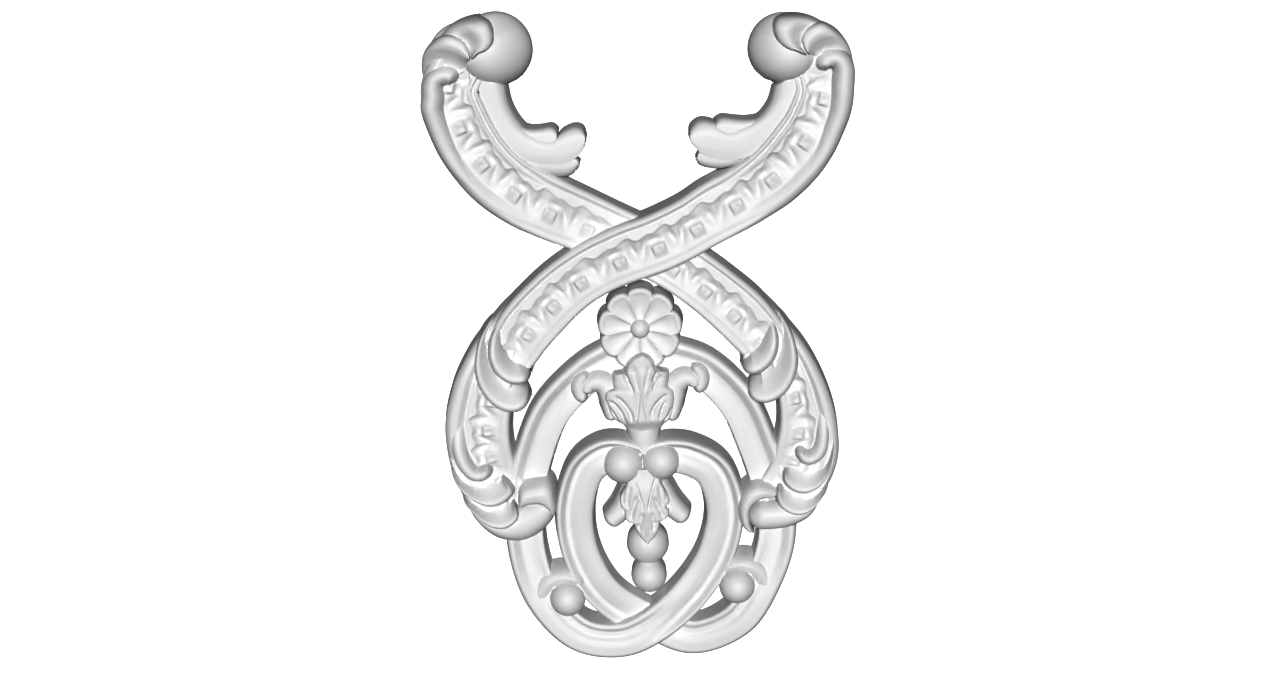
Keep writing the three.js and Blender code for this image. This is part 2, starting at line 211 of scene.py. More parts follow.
def blend_sections(sections, share, across):
    """Lift of a surface whose cross-section changes along it: each section holds at its own place, and
    between two places one melts into the next."""
    places = [place for place, _ in sections]
    lifts = np.array([through(*section, across) for _, section in sections])
    at = np.interp(share, places, np.arange(len(places)))
    first = np.minimum(at.astype(int), len(places) - 2)
    u = (at - first)[:, None]
    u = u * u * (3 - 2 * u)
    return lifts[first] * (1 - u) + lifts[first + 1] * u


def columns(count, crowd=0.6):
    """Places across a form from -1 to 1, crowded towards both edges."""
    even = np.linspace(-1, 1, count)
    return crowd * np.sin(even * math.pi / 2) + (1 - crowd) * even


# Closed shells

def add_feet(face, draft):
    """Adds a first and a last column of points on the back plane, further out by the draft of the wall."""
    flat = np.array([1, 0, 1])
    feet = []
    for border, inner in ((face[:, 0], face[:, 2]), (face[:, -1], face[:, -3])):
        out = (border - inner) * flat
        out = out / np.maximum(np.linalg.norm(out, axis=1, keepdims=True), 1e-6)
        feet.append(border * flat + out * draft)
    return np.concatenate([feet[0][:, None], face, feet[1][:, None]], 1)


def sheet(x, z, lift):
    """A closed body in drawn millimetres: a grid of points raised by their lift, a wall all round it and
    a flat back. The draft of the side walls fades where the form narrows to a tip. Returns its vertices,
    its quads and the two loops that close its ends."""
    width = np.hypot(x[:, -1] - x[:, 0], z[:, -1] - z[:, 0])[:, None]
    face = add_feet(np.stack([x, -lift, z], -1), WALL_DRAFT * ramp(width, 6))
    return closed(add_feet(face.swapaxes(0, 1), END_DRAFT).swapaxes(0, 1))


def closed(rings):
    """Joins each ring of points to the next by quads and closes the first and the last ring. Every face is
    turned over where the volume under the quads comes out negative."""
    index = np.arange(rings.size // 3).reshape(rings.shape[:2])
    beside = np.roll(index, -1, 1)
    quads = np.stack([index[:-1], beside[:-1], beside[1:], index[1:]], -1).reshape(-1, 4)
    vertices = rings.reshape(-1, 3)
    a, b, c, d = (vertices[quads[:, k]] for k in range(4))
    volume = (np.cross(b - a, c - a) * a).sum() + (np.cross(c - a, d - a) * a).sum()
    if volume < 0:
        return vertices, quads[:, ::-1], [index[0], index[-1, ::-1]]
    return vertices, quads, [index[0, ::-1], index[-1]]


def between(right, left, across):
    """Grid of points that run straight from the right edge (-1) to the left edge (1)."""
    mix = (across + 1) / 2
    return (right[:, k, None] * (1 - mix) + left[:, k, None] * mix for k in range(2))


def strand(points, width, lift, widths, count, step=FINE_STEP):
    """A form of changing width along a path, with a row of points at each step of its length: lift is a
    function of the share of the length, the place across and the half width."""
    _, _, length = smooth_path(points, [0])
    share = np.linspace(0, 1, int(length / step))
    centre, travel, length = smooth_path(points, share)
    side = np.stack([-travel[:, 1], travel[:, 0]], -1)
    half = (width * vary(widths, share) / 2)[:, None]
    across = columns(count, 0.4)
    x, z = between(centre - side * half, centre + side * half, across)
    return sheet(x, z, lift(share, across, half, length))


def even_ends(rows):
    """Shares of a length, crowded towards both ends."""
    even = np.linspace(0, 1, rows)
    return 0.4 * even + 0.6 * (0.5 - 0.5 * np.cos(math.pi * even))


def lobe(points, halves, top, section, flip=False, tips=(3, 4), tops=(1, 1), rows=80, sunk=0.35):
    """A short form that narrows to round tips: a crescent, a petal or a leaf.

    Its lift is the section's share of the top, and near a tip it sinks with the narrowing width.
    """
    share = even_ends(rows)
    centre, travel, length = smooth_path(points, share)
    side = np.stack([-travel[:, 1], travel[:, 0]], -1)
    narrow = round_end(share * length, tips[0]) * round_end((1 - share) * length, tips[1])
    half = (vary(halves, share) * np.maximum(narrow, 0.03))[:, None]
    across = columns(44)
    x, z = between(centre - side * half, centre + side * half, across)
    profile = section(-across if flip else across)
    return sheet(x, z, top * (vary(tops, share) * (sunk + (1 - sunk) * narrow))[:, None] * profile)


def blade(outer, inner, top, section, start=5, end=2, thin=4, tops=(1, 1), bow=0, sunk=0.4):
    """A form between two edges that meet at its tip: across runs from the inner edge (-1) to the outer (1).

    Its lift is the section's share of the top. It is low where it starts and where its edges come close,
    and its first row bows back by the given length, so that it can follow a round outline.
    """
    share = even_ends(80)
    far, travel, length = smooth_path(outer, share)
    near, _, _ = smooth_path(inner, share)
    across = columns(44)
    x, z = between(near, far, across)
    back = bow * (1 - across**2) * (1 - share[:, None]) ** 3
    ahead = np.array([near[0, 1] - far[0, 1], far[0, 0] - near[0, 0]])
    ahead = ahead * np.sign(ahead @ travel[0]) / np.linalg.norm(ahead)
    width = np.linalg.norm(far - near, axis=1)
    narrow = round_end(width, thin) * round_end(share * length, start) * round_end((1 - share) * length, end)
    lift = top * (vary(tops, share) * (sunk + (1 - sunk) * narrow))[:, None] * section(across)
    return sheet(x - ahead[0] * back, z - ahead[1] * back, lift)


def dome(place, radius, low, top, around=72, rings=26, swell=2, lean=(0, 0), tuck=(0, 0, 0)):
    """A ball standing out of the relief: rings round an axis whose height is a quarter of a superellipse.

    Its summit leans over by the given lengths. Beyond a distance from its axis, in the direction of the
    tuck, it sinks a little under what lies on it.
    """
    angle = np.linspace(0, 2 * math.pi, around, endpoint=False)
    up = np.linspace(0, math.pi / 2, rings)
    reach = np.r_[radius * 0.97, radius * np.cos(up) ** (2 / swell)]
    height = np.r_[0, low + (top - low) * np.sin(up) ** (2 / swell)]
    reach[-1] = radius * 0.004
    shift = np.r_[0, np.sin(up) ** 2]
    sideways, upwards, start = tuck
    across, along = reach[:, None] * np.cos(angle), reach[:, None] * np.sin(angle)
    x = place[0] + across + lean[0] * shift[:, None]
    z = place[1] + along + lean[1] * shift[:, None]
    beyond = (x - place[0]) * sideways + (z - place[1]) * upwards - start
    y = -height[:, None] * (1 - TUCK_SHARE * ramp(beyond, TUCK_REACH))
    return closed(np.stack([x, y, z], -1))


def stroke(x, z, points, width):
    """Height of 1 along a curve over the grid, falling off to both sides and fading at the curve's ends."""
    share = np.linspace(0, 1, 48)
    place, _, _ = smooth_path(points, share)
    apart = np.hypot(x[..., None] - place[:, 0], z[..., None] - place[:, 1])
    at = share[apart.argmin(-1)]
    return hump(apart.min(-1), width) * ramp(at, 0.25) * ramp(1 - at, 0.25)


def carved(left, right, lift, strokes, edge):
    """A leaf between a left and a right edge, each given as heights and places: its lift is a function of
    the grid, each stroke adds its height along its curve, and the margins are rounded by the edge radius."""
    level = np.linspace(left[0][0], left[0][-1], 150)
    across = np.linspace(-1, 1, 110)
    near, far = through(*left, level)[:, None], through(*right, level)[:, None]
    x = (near + far) / 2 + across * (far - near) / 2
    z = level[:, None] + 0 * x
    depth = (1 - np.abs(across)) * (far - near) / 2
    face = lift(x, z, across) - edge_drop(depth, edge)
    for points, width, height in strokes:
        face = face + height * stroke(x, z, points, width)
    return sheet(x, z, face)


def put_piece(name, shells):
    """Makes one mesh object of the shells, in place of the casting. The flat back of each shell lies a hair
    further in than that of the one before it, so that no two backs share a plane."""
    number = len(bpy.data.meshes)
    for order, (place, _, _) in enumerate(shells):
        place[:, 1] = np.minimum(place[:, 1], -BACK_STEP * (order + number / 10))
    vertices = np.vstack([part[0] for part in shells]) * METRE
    offsets = np.cumsum([0] + [len(part[0]) for part in shells[:-1]])
    loops, sizes = [], []
    for offset, (_, quads, ends) in zip(offsets, shells):
        loops += [(quads + offset).ravel()] + [loop + offset for loop in ends]
        sizes += [np.full(len(quads), 4)] + [[len(loop)] for loop in ends]
    loops, sizes = np.concatenate(loops), np.concatenate(sizes)
    mesh = bpy.data.meshes.new(name)
    mesh.vertices.add(len(vertices))
    mesh.vertices.foreach_set("co", vertices.ravel())
    mesh.loops.add(len(loops))
    mesh.loops.foreach_set("vertex_index", loops)
    mesh.polygons.add(len(sizes))
    mesh.polygons.foreach_set("loop_start", np.r_[0, np.cumsum(sizes)[:-1]])
    mesh.polygons.foreach_set("use_smooth", np.ones(len(sizes), bool))
    mesh.update(calc_edges=True)
    mesh.validate()
    mesh.set_sharp_from_angle(angle=SHARP_ANGLE)
    piece = bpy.data.objects.new(name, mesh)
    bpy.context.scene.collection.objects.link(piece)
    mesh.materials.append(primer())
    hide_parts("ornament")
    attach(piece, "root")
    return piece


# Sections of short forms: lift as a share of the top, over the place across

def crescent(across):
    """A steep outer edge, a crest behind it and a long even slope to a low foot."""
    return through(
        (-1, -0.85, -0.4, 0.1, 0.4, 0.56, 0.74, 0.88, 0.96, 1),
        (0.44, 0.49, 0.67, 0.885, 0.98, 1, 0.96, 0.84, 0.68, 0.5),
        across,
    )


def rolled(across):
    """A steep outer edge, a crest near the middle and a round fall to a deep inner edge."""
    return through((-1, -0.9, -0.6, -0.2, 0.15, 0.4, 0.7, 0.9, 1),
                   (0.42, 0.52, 0.75, 0.92, 0.99, 1, 0.93, 0.78, 0.58), across)


def overlap(across):
    """Scale of a head: a crest behind a low outer edge and a hollow down to the next scale."""
    return through((-1, -0.8, -0.45, 0, 0.3, 0.55, 0.8, 0.94, 1),
                   (0.7, 0.7, 0.75, 0.88, 0.97, 1, 0.975, 0.92, 0.84), across)


def fold(across):
    """Round roll whose inner edge stands higher than its outer one."""
    return through((-1, -0.9, -0.6, -0.1, 0.4, 0.8, 1), (0.76, 0.88, 0.97, 1, 0.93, 0.72, 0.48), across)


def roll(across):
    """Half-round bead."""
    return 0.45 + 0.55 * np.sqrt(np.clip(1 - np.abs(across) ** 2.2, 0, 1))


def pillow(across):
    """Broad convex form with round edges."""
    return 0.5 + 0.5 * (1 - np.abs(across) ** 2.4) ** 0.6


def foil(across):
    """Leaf that is broad and flat inside and falls off round to its outer edge."""
    return through((-1, -0.4, 0.15, 0.5, 0.76, 0.92, 1), (0.97, 1, 0.995, 0.955, 0.87, 0.76, 0.64), across)


def curl(across):
    """Long rise from the outer edge to a crest, and a short fall to the inner edge."""
    return through((-1, -0.7, -0.3, 0.1, 0.5, 1), (0.4, 0.7, 0.92, 1, 0.95, 0.8), across)


# Bands

def ruffle(along, inside, bosses, middle, far):
    """Carving of a channel, as lift over its plain section.

    A scalloped step runs at about the far distance from the near edge: once to a boss it starts outwards
    and drifts back. Below it, three soft hollows to a boss lie between rounded folds. The boss at the middle
    distance is a small tongue with steep sides and a shallow dimple, and a thin line follows the step.
    """
    turn = np.interp(along, bosses, np.arange(len(bosses)))
    pitch = np.interp(turn, np.arange(len(bosses)), np.gradient(bosses))
    hand = 0.3 * np.sin(4.1 * np.round(turn))

    def gap(phase):
        part = turn - phase
        return (part - np.round(part)) * pitch

    above = inside - middle
    ridge = far + 1.2 * teeth(turn - 0.54, 0.6) + 0.6 * teeth(2 * turn - 0.15, 0.6) + hand
    below = step_up(ridge - inside, 1.0)
    hollows = (
        2.1 * hump(gap(0.04), 4.4) * hump(above - 6.4, 2.2)
        + (2.3 + hand) * hump(gap(0.35) + 0.35 * (above - 3), 2.3) * hump(above - 3, 5.2)
        + (2.9 - hand) * hump(gap(0.63) - 0.15 * (above - 4), 2.7) * hump(above - 4, 6.0)
    )
    folds = -below * (0.5 * ramp(above + 5, far - middle + 3) + hollows)
    rim = 0.45 * hump(inside - ridge - 0.6, 0.9) + 0.35 * hump(inside - far - 3.8, 0.5)
    sides = step_up(3.7 - np.abs(gap(0)), 0.4)
    tongue = ramp(above + 5.4, 6.4) * step_up(3.4 - above, 0.5)
    dimple = 0.6 * hump(gap(0) - 0.4, 1.4) * hump(above - 0.3, 1.8)
    return folds + rim + sides * tongue * (1.9 - dimple)


def band_lift(bosses, rises, flip):
    """The face of a band: a bead that thins out along the arm, a ruffled channel and a grooved rim."""
    def lift(share, across, half, length):
        across = -across if flip else across
        along = share * length
        arm = 1 - ramp(along - 62, 60)[:, None]
        face = blend_sections(((0, ARM), (1, CROSSING)), 1 - arm[:, 0], across)
        inside = (across + 1) / 2 * BAND_WIDTH
        face = face + ruffle(along[:, None], inside, bosses, 13.8 + 2.8 * arm, 24.6 + 1.6 * arm)
        depth = (1 - np.abs(across)) * half
        radius = np.where(across < 0, 1.8 + 5 * arm, 3.2 - 1.8 * arm)
        return face * vary(rises, share)[:, None] - edge_drop(depth, radius)
    return lift


def front_band(sizes):
    """The band from the upper right: a strand along its path, raised where it passes in front."""
    rises = (0.92, 1, 1, 0.98, 1, 1.05, 1.08, 1, 0.95, 0.95, 0.8)
    lift = band_lift(FRONT_BOSSES, rises, True)
    return [strand(FRONT_PATH, sizes.band_width / METRE, lift, FRONT_WIDTHS, count=92)]


def back_band(sizes):
    """The band from the upper left: a strand along its path, sunk where the other passes over it."""
    rises = (0.92, 1, 0.98, 0.94, 0.85, 0.72, 0.72, 0.86, 0.95, 0.95, 0.8)
    lift = band_lift(BACK_BOSSES, rises, False)
    return [strand(BACK_PATH, sizes.band_width / METRE, lift, BACK_WIDTHS, count=92)]


# Heads

def bead(path, widths, turn, hook, sizes):
    """The outer bead of an arm, from where it rises out of the band up to its hooked end: it runs by the
    bead inset inside the band's edge, on the side given by the turn, and then along the hook."""
    share = np.linspace(0.3, 0.09, 6)
    centre, travel, _ = smooth_path(path, share)
    half = sizes.band_width / METRE * vary(widths, share) / 2
    run = centre + np.stack([-travel[:, 1], travel[:, 0]], -1) * (turn * (half - BEAD_INSET))[:, None]
    return lobe([*run, *hook], (2, 4.6, 6, 6.6, 7, 7.2, 6.6, 5.6), 24, roll, tips=(12, 5), rows=200,
                tops=(0.6, 0.82, 0.87, 0.9, 0.95, 1, 1, 1))


def heads(sizes):
    """Each head is a ball on a plinth, with two scales from its outline to one meeting point and the
    hooked bead of the arm below them."""
    ball = sizes.head_ball_radius / METRE

    def scale(outer, inner, top):
        """A blade with a broad round start."""
        return blade(outer, inner, top, overlap, start=14, bow=3.5, sunk=0.3)

    return [
        dome((98, 157), 21, 4, 17),
        dome((-100, 156), 21, 4, 17),
        dome((81.1, 162.2), ball, 4, 24.5, around=120, rings=44, swell=2.1, lean=(3, -3),
             tuck=(0.4, 0.9, 1.5)),
        dome((-82, 161.6), ball * 1.05, 4, 24.5, around=120, rings=44, swell=2.05, lean=(-5, -3),
             tuck=(-0.6, 0.8, 1.5)),
        scale([(81.5, 181.8), (76.8, 179.8), (74.7, 175.3), (75.7, 169.7), (78.3, 165.7), (82.4, 162.9),
               (87, 161.8), (91, 160.4), (94, 158.6)],
              [(109, 172), (104, 175), (98.5, 174.8), (94.6, 171.5), (92.3, 168), (92.6, 164),
               (94.4, 159.5)],
              27),
        scale([(108.5, 174.5), (102, 177.2), (97.4, 176.6), (92.9, 173.5), (90.4, 169.3), (91, 165),
               (93.6, 160.6)],
              [(121.5, 151), (115.5, 157.5), (110, 159), (105, 158.6), (100, 157.6), (95.4, 158.6)],
              25),
        bead(FRONT_PATH, FRONT_WIDTHS, 1,
             [(114.6, 144.6), (114.6, 151.2), (112.2, 156.2), (107.8, 157.4), (104, 155), (103.8, 150)],
             sizes),
        scale([(-92, 181), (-85.6, 178.2), (-82.7, 174.1), (-81.7, 169.1), (-82.4, 165.3), (-85.2, 162.2),
               (-89.7, 160.6), (-94.4, 157)],
              [(-116.2, 165), (-110, 167.8), (-104.8, 167.9), (-100.2, 165.6), (-97.4, 161.6), (-95.6, 157)],
              27),
        scale([(-116.4, 167.2), (-110, 170), (-104.5, 170), (-99, 167.1), (-95.8, 162.2), (-94.6, 157.4)],
              [(-123.8, 146.5), (-117, 149.6), (-110.8, 150.3), (-105.3, 149.6), (-100.2, 149.6),
               (-95.3, 154.4)],
              25),
        bead(BACK_PATH, BACK_WIDTHS, -1,
             [(-117, 135.2), (-117, 140.8), (-115.6, 145.2), (-111.8, 147.6), (-107.2, 147.6),
              (-102.4, 145)], sizes),
    ]


# Leaves on the inner sides of the arms

def arm_leaves():
    """Three blades to an arm: a short one above, the broad one that carries on the arm, and one below."""
    def leaf(outer, inner, top, start=1):
        """A nearly level blade with thin edges."""
        return blade(outer, inner, top, foil, start=start, thin=1.2, sunk=0.8)

    return [
        leaf([(74.6, 132.4), (69, 124.7), (61.6, 122.7), (54.2, 123), (46.8, 123.6), (42.8, 121),
              (43.7, 118.8)],
             [(77, 125), (69.7, 118.8), (61.8, 115.3), (54.3, 112), (48, 113), (44, 117.6)], 15.5, 2),
        leaf([(76.4, 141.7), (74.3, 133.3), (69.3, 125.9), (62.6, 121.4), (55.2, 118.6), (49, 117.1),
              (41.5, 121.1), (34.1, 121.7), (29.1, 118), (27.9, 113.4)],
             [(95, 154), (93, 139), (85, 122.5), (73.5, 109.5), (59.5, 101), (46.9, 100.6), (36, 103.3),
              (30.3, 108.3), (28, 112.3)], 17.6),
        leaf([(82.2, 116.6), (71.6, 105.1), (58.6, 97.7), (47.1, 94.2), (37.9, 94.8), (33.3, 97.1),
              (32.1, 100.5)],
             [(80.9, 123.4), (68.6, 112), (56.2, 106.4), (44.7, 105), (35.5, 105), (32.5, 101.7)], 16.4),
        leaf([(-75.1, 131.3), (-70.8, 122.7), (-64.6, 117.9), (-57.2, 117.6), (-50.9, 118.5),
              (-47.2, 115.9), (-47.5, 113)],
             [(-77.1, 122.2), (-70.4, 114.8), (-63, 110.2), (-54.4, 108), (-49.8, 108.6), (-47.5, 111.9)],
             15.5, 2),
        leaf([(-76.4, 141.7), (-74.9, 133.3), (-71.1, 124.8), (-64.9, 117.4), (-57, 113.2), (-49.6, 111.7),
              (-44.5, 115.7), (-38.2, 118.3), (-33, 117.4), (-30.8, 113.4)],
             [(-92, 149), (-90, 134), (-84, 116), (-71, 102), (-54.5, 98), (-42.4, 98.8),
              (-36.1, 101.5), (-32, 106.6), (-30.8, 111.7)], 17.6),
        leaf([(-81.9, 105.1), (-68.9, 95.4), (-54.7, 90.2), (-42, 89.6), (-36.8, 93), (-34.4, 97.7)],
             [(-80.1, 112), (-67.6, 106), (-53.9, 103.4), (-41.3, 102.5), (-34.8, 98.8)], 16.4),
    ]


# Outer scrolls

def scroll_lift(bosses, rises, flip):
    """The face of an outer scroll: a bead at the outer edge, a ruffled channel and a plain inner strip."""
    def lift(share, across, half, length):
        across = -across if flip else across
        along = (share * length)[:, None]
        face = np.repeat(through(*SCROLL, across)[None, :], len(share), 0)
        inside = (1 - across) / 2 * SCROLL_WIDTH
        face = face + ruffle(along, inside, bosses, 12.2, 21.4)
        depth = (1 - np.abs(across)) * half
        return face * vary(rises, share)[:, None] - edge_drop(depth, np.where(across < 0, 5, 1.8))
    return lift


def scrolls(sizes):
    """Each scroll is a strand that swells to its lower end, where a bead hook, two crescents, a broad tail
    and the curled end overlap in turn."""
    width = sizes.scroll_width / METRE
    left = [(-62, 17), (-75, 4), (-87.8, -18.3), (-94.6, -43.2), (-97.5, -66), (-93, -92), (-81.5, -110),
            (-68, -118)]
    right = [(62, 17), (74.4, 4.1), (87.8, -16.3), (96.8, -39), (101, -63), (98.4, -87), (87, -106),
             (76, -114)]
    rises = (0.6, 0.85, 1, 1, 0.85, 0.7)
    return [
        strand(left, width, scroll_lift(LEFT_SCROLL_BOSSES, rises, False),
               (0.45, 0.53, 0.73, 0.95, 1.02, 1.02, 0.96, 0.8), count=74),
        strand(right, width, scroll_lift(RIGHT_SCROLL_BOSSES, rises, True),
               (0.42, 0.48, 0.62, 0.76, 0.9, 1.02, 0.96, 0.8), count=74),
        lobe([(-105.6, -108.2), (-96.4, -118.6), (-86.2, -124.6), (-75.8, -124.8), (-66.2, -120.2),
              (-59.4, -114.6), (-55.5, -109)], (1.2, 3.8, 6.4, 9.2, 10.8, 9.6, 6), 20, pillow, tips=(2, 4),
             tops=(0.8, 0.95, 1, 1)),
        dome((-88, -102), 19, 3, 13),
        dome((-62, -108), 12, 4, 17),
        blade([(-50.8, -117.5), (-50.2, -110.2), (-50.8, -103.4), (-52.3, -96.8), (-55.6, -93.2),
               (-60.2, -93.4), (-65, -94.5), (-69.8, -95.8), (-72.9, -98.8), (-74, -104), (-73.4, -110.4)],
              [(-53.6, -116.5), (-55.6, -112.6), (-58.6, -109.8), (-61.8, -108.7), (-65, -108.8),
               (-68.1, -109.3),
               (-70.9, -110.4), (-73, -111.2)], 23, fold, start=3, thin=4, tops=(0.8, 0.96, 1, 1, 0.9)),
        blade([(-108.6, -98.9), (-105.3, -109), (-99.5, -116.3), (-93.3, -122.2), (-86.9, -125.2),
               (-81, -125.4), (-76.1, -122.6), (-73, -118), (-73.8, -112.4), (-76.2, -107.2)],
              [(-108, -99.6), (-101.8, -105.6), (-95.5, -109.4), (-89.2, -111.1), (-82.8, -109.4),
               (-77.5, -106)],
              21.5, crescent, start=2, thin=6),
        blade([(-114.3, -78.8), (-112.3, -91.4), (-108.2, -99.8), (-102.4, -105.2), (-95.3, -109.5),
               (-89, -111), (-83, -109.5), (-77.7, -105.2), (-75.4, -100.6), (-77.9, -95.5), (-82.6, -90.9)],
              [(-113.7, -78.7), (-108.5, -87.9), (-102.3, -93.8), (-95.2, -95), (-88.8, -94.2),
               (-83.2, -91.2)],
              22.5, crescent, start=2, thin=6),
        lobe([(-108.9, -46), (-108.9, -60.3), (-108.6, -72.7), (-105.6, -82.6), (-100.3, -89.3),
              (-94.3, -89.5), (-90.5, -84.6)], (3, 5.4, 5.9, 5.9, 5.6, 5.1, 3.6), 23, roll, tips=(3, 4),
             tops=(0.6, 0.8, 0.95, 1, 1)),
        lobe([(109.2, -105.6), (101.1, -113.5), (91.6, -116.8), (82.6, -117.6), (74.6, -117.8), (66, -116)],
             (1.2, 4.8, 7.4, 9, 9.4, 9.2), 21, pillow, tips=(2, 9), tops=(0.75, 0.95, 1, 1)),
        dome((88, -98), 18, 3, 13),
        blade([(84.5, -101.5), (79.5, -97.4), (74.2, -95.4), (68.4, -95.4), (62.8, -99.3), (59.4, -106.8),
               (58.8, -114.3), (60.6, -121.8), (64.2, -126.5), (70.5, -129.6)],
              [(82, -105), (79.3, -105.8), (76.6, -104.9), (73.1, -105.8), (69.7, -108.1), (67.1, -111.4),
               (66.3, -115.1), (66.5, -118.9), (67.3, -123.1), (69.8, -128)], 22, fold, start=3, thin=4,
              tops=(0.85, 1, 1, 0.96, 0.85)),
        blade([(115, -87.1), (112.7, -99.1), (107.7, -108.4), (102.4, -114.2), (95.5, -116.6),
               (88.4, -114.7), (83.4, -109.6), (81.8, -102.8), (83.9, -96.5)],
              [(114.6, -88.7), (109.2, -98), (100.6, -102.2), (92.6, -100.3), (86.4, -96.6)],
              21.5, crescent, start=2, thin=6),
        blade([(116.2, -63.2), (115.5, -77), (112.5, -90.8), (106.6, -99.1), (98.6, -102.6), (91.6, -100.7),
               (86.6, -95.6), (85.9, -89.9), (88.4, -86)],
              [(115.6, -63.9), (112.9, -75.8), (107.1, -84.1), (100.1, -85.9), (94, -85), (88.8, -85.9)],
              22.5, crescent, start=2, thin=6),
        lobe([(107.5, -40), (109.2, -53.8), (109.3, -67.5), (106.9, -75.7), (101.6, -79.6), (97.2, -77.5),
              (95.4, -72.6)],
             (3, 4.6, 5, 5.2, 5.4, 4.8, 2.6), 23, roll, tips=(3, 3), tops=(0.6, 0.8, 0.95, 1, 1)),
    ]


# Crescents that end the bands

def band_ends():
    """Two nested crescents round the end of each band, on a low dome."""
    return [
        lobe([(-86.6, 6), (-91.2, -6.8), (-91.6, -19.5), (-88.6, -30.2), (-82.6, -38), (-75.2, -40.9),
              (-67, -37.2)],
             (0.9, 3.4, 5.6, 7.8, 9.4, 10.4, 9.2), 24, crescent, flip=True, tips=(2, 9),
             tops=(0.5, 0.85, 1, 1, 1)),
        lobe([(-81, 5.8), (-84.4, -5.1), (-84.3, -14.2), (-81.2, -21.6), (-76, -26), (-70.4, -26.6),
              (-65.4, -24.4)],
             (1.2, 3.6, 5, 6.2, 6.8, 6.8, 5.6), 25.5, rolled, flip=True, tips=(2, 5.5),
             tops=(0.5, 0.85, 1, 1, 1)),
        dome((-77.5, -21), 15, 4, 13),
        dome((74, -13), 14, 4, 13),
        lobe([(80.9, 10.2), (84.7, -1.8), (85.9, -12.1), (84.4, -23), (79.3, -32), (72, -35.5), (66, -32)],
             (0.9, 4, 6.4, 8.6, 9.8, 10.4, 9), 24, crescent, tips=(2, 9), tops=(0.5, 0.85, 1, 1, 1)),
        lobe([(74.6, 8.2), (76.9, 1), (76.4, -7.5), (72.6, -15.6), (66.3, -20.2), (60.6, -19)],
             (1.2, 3.6, 5.6, 7.2, 7.6, 6.4), 25.5, rolled, tips=(2, 6.5), tops=(0.5, 0.85, 1, 1, 1)),
    ]


# Ring and heart

def ring_lift(rises, flip):
    """The face of a ring strand: an outer bead beside a cove, with a raised inner lip at the bottom of the
    ring and a broad swell up the heart."""
    def lift(share, across, half, length):
        across = -across if flip else across
        face = blend_sections(RING_STATIONS, share, across)
        depth = (1 - np.abs(across)) * half
        return face * vary(rises, share)[:, None] * 1.02 - edge_drop(depth, np.where(across < 0, 3.6, 1.3))
    return lift


def ring(sizes):
    """Two strands that start behind the rosette, cross at the bottom and climb into the heart, with the
    balls of the heart and the volutes and a curl round each volute ball."""
    width = sizes.ring_width / METRE
    left = [(-12, -18), (-30.8, -29), (-52.6, -51.6), (-64.4, -80.4), (-70, -110), (-69.5, -142),
            (-59.5, -172.5),
            (-39, -195.5), (-14, -200.5), (7, -192), (30, -171), (46.4, -144.5), (52, -116), (45, -91),
            (29, -80.5), (13, -79.5), (6, -81), (3, -84.5)]
    right = [(12, -18), (37, -26), (58.5, -46.9), (71, -74), (80.4, -103), (84, -132), (76, -161),
             (60.5, -187),
             (33, -200), (7, -190.5), (-20, -172.5), (-35.6, -146), (-40, -117), (-34, -91), (-22, -80),
             (-9, -79.5), (-2, -81), (1.5, -84.5)]
    left_rises = (0.7, 0.8, 0.85, 0.85, 0.8, 0.85, 0.95, 1, 1.05, 1.05, 1, 0.9, 0.9, 1, 1.05, 1)
    right_rises = (0.7, 0.8, 0.85, 0.85, 0.8, 0.85, 0.95, 1, 0.85, 0.65, 0.75, 0.9, 0.9, 1, 1.05, 1)
    heart_ball = sizes.heart_ball_radius / METRE
    volute = sizes.volute_ball_radius / METRE
    left_volute, right_volute = (-44.6, -172.3), (59.8, -163.8)
    narrow = (*[1] * 24, 0.6)
    return [
        strand(left, width, ring_lift(left_rises, False), narrow, 50, PLAIN_STEP),
        strand(right, width, ring_lift(right_rises, True), narrow, 50, PLAIN_STEP),
        dome((-10.1, -84.4), heart_ball, 13, 25),
        dome((12.6, -82.6), heart_ball * 0.94, 13, 25),
        dome(left_volute, volute, 13, 24),
        dome(right_volute, volute, 13, 24),
        lobe(turn_round(left_volute, 236, 36, 20, 13), (0.8, 4, 6, 6.2, 5.2, 3), 16.8, curl, flip=True,
             tips=(3, 8), tops=(0.6, 0.8, 0.95, 1, 1, 0.9), sunk=0.7),
        lobe(turn_round(right_volute, -56, 144, 20, 13), (0.8, 4, 6, 6.2, 5.2, 3), 16.8, curl,
             tips=(3, 8), tops=(0.6, 0.8, 0.95, 1, 1, 0.9), sunk=0.7),
    ]


def turn_round(place, start, end, far, near):
    """Points of a spiral round a place, between two angles in degrees and two radii."""
    angle = np.radians(np.linspace(start, end, 9))
    reach = np.linspace(far, near, 9)
    return np.stack([place[0] + reach * np.cos(angle), place[1] + reach * np.sin(angle)], -1)


# Rosette, palmette and neck

